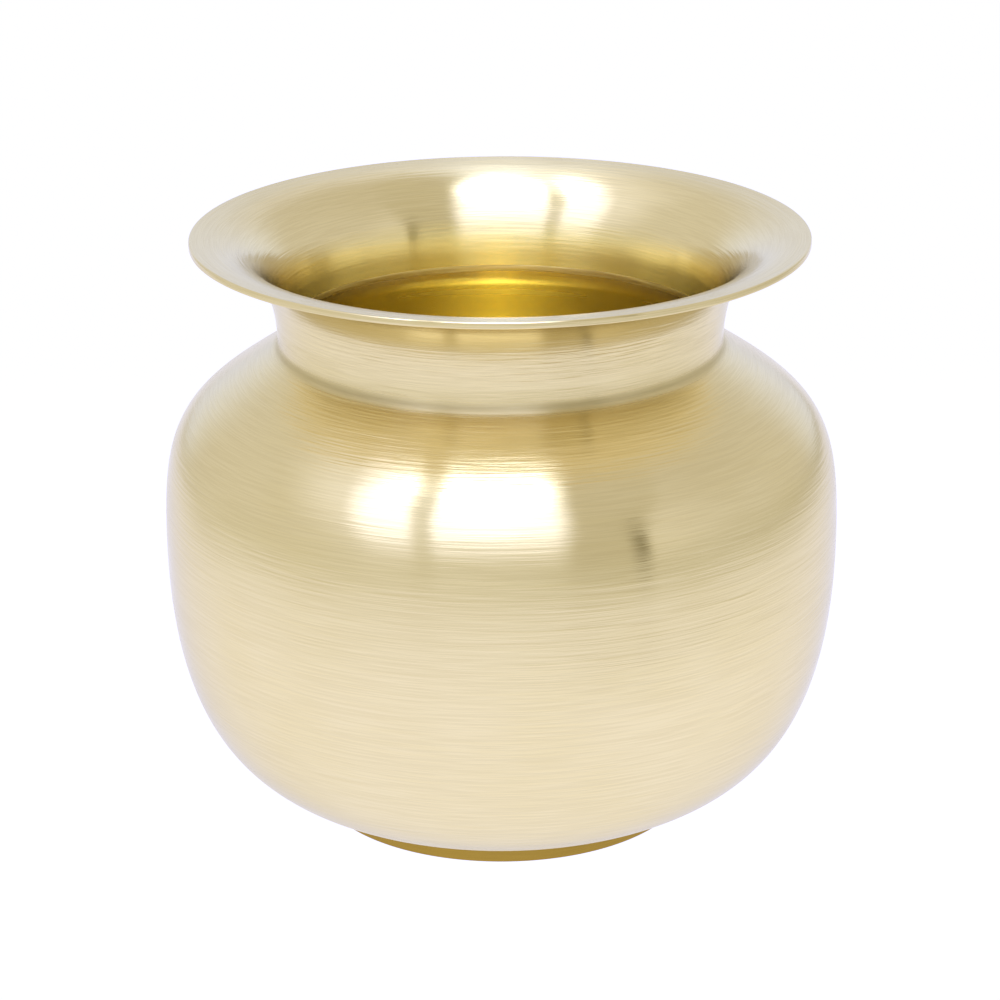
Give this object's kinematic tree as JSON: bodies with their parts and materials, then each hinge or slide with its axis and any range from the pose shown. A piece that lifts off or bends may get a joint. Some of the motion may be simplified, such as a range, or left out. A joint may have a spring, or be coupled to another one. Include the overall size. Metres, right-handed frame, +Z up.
{
  "type": "lota",
  "caption": "Round-bellied brass water pot with a narrow neck, a wide flared mouth and a low foot ring, for holding and pouring water.",
  "frame": {"origin": "centre of the standing face of the foot ring", "axes": "+Z up along the axis of the pot, towards the mouth; the pot is round, so +X and +Y are free"},
  "size_m": [0.133, 0.133, 0.1164],
  "materials": {
    "spun_brass": "spun and fine-turned, bright satin with circular tool lines",
    "turned_brass": "smooth turned, deeper golden",
    "braze": "dull, slightly grainy filler metal"
  },
  "bodies": {
    "root": {"mouth_collar": "spun_brass", "shoulder_shell": "spun_brass", "bowl_shell": "spun_brass", "foot_ring": "turned_brass", "neck_braze": "braze", "belly_braze": "braze", "foot_solder": "braze"}
  },
  "joints": []
}
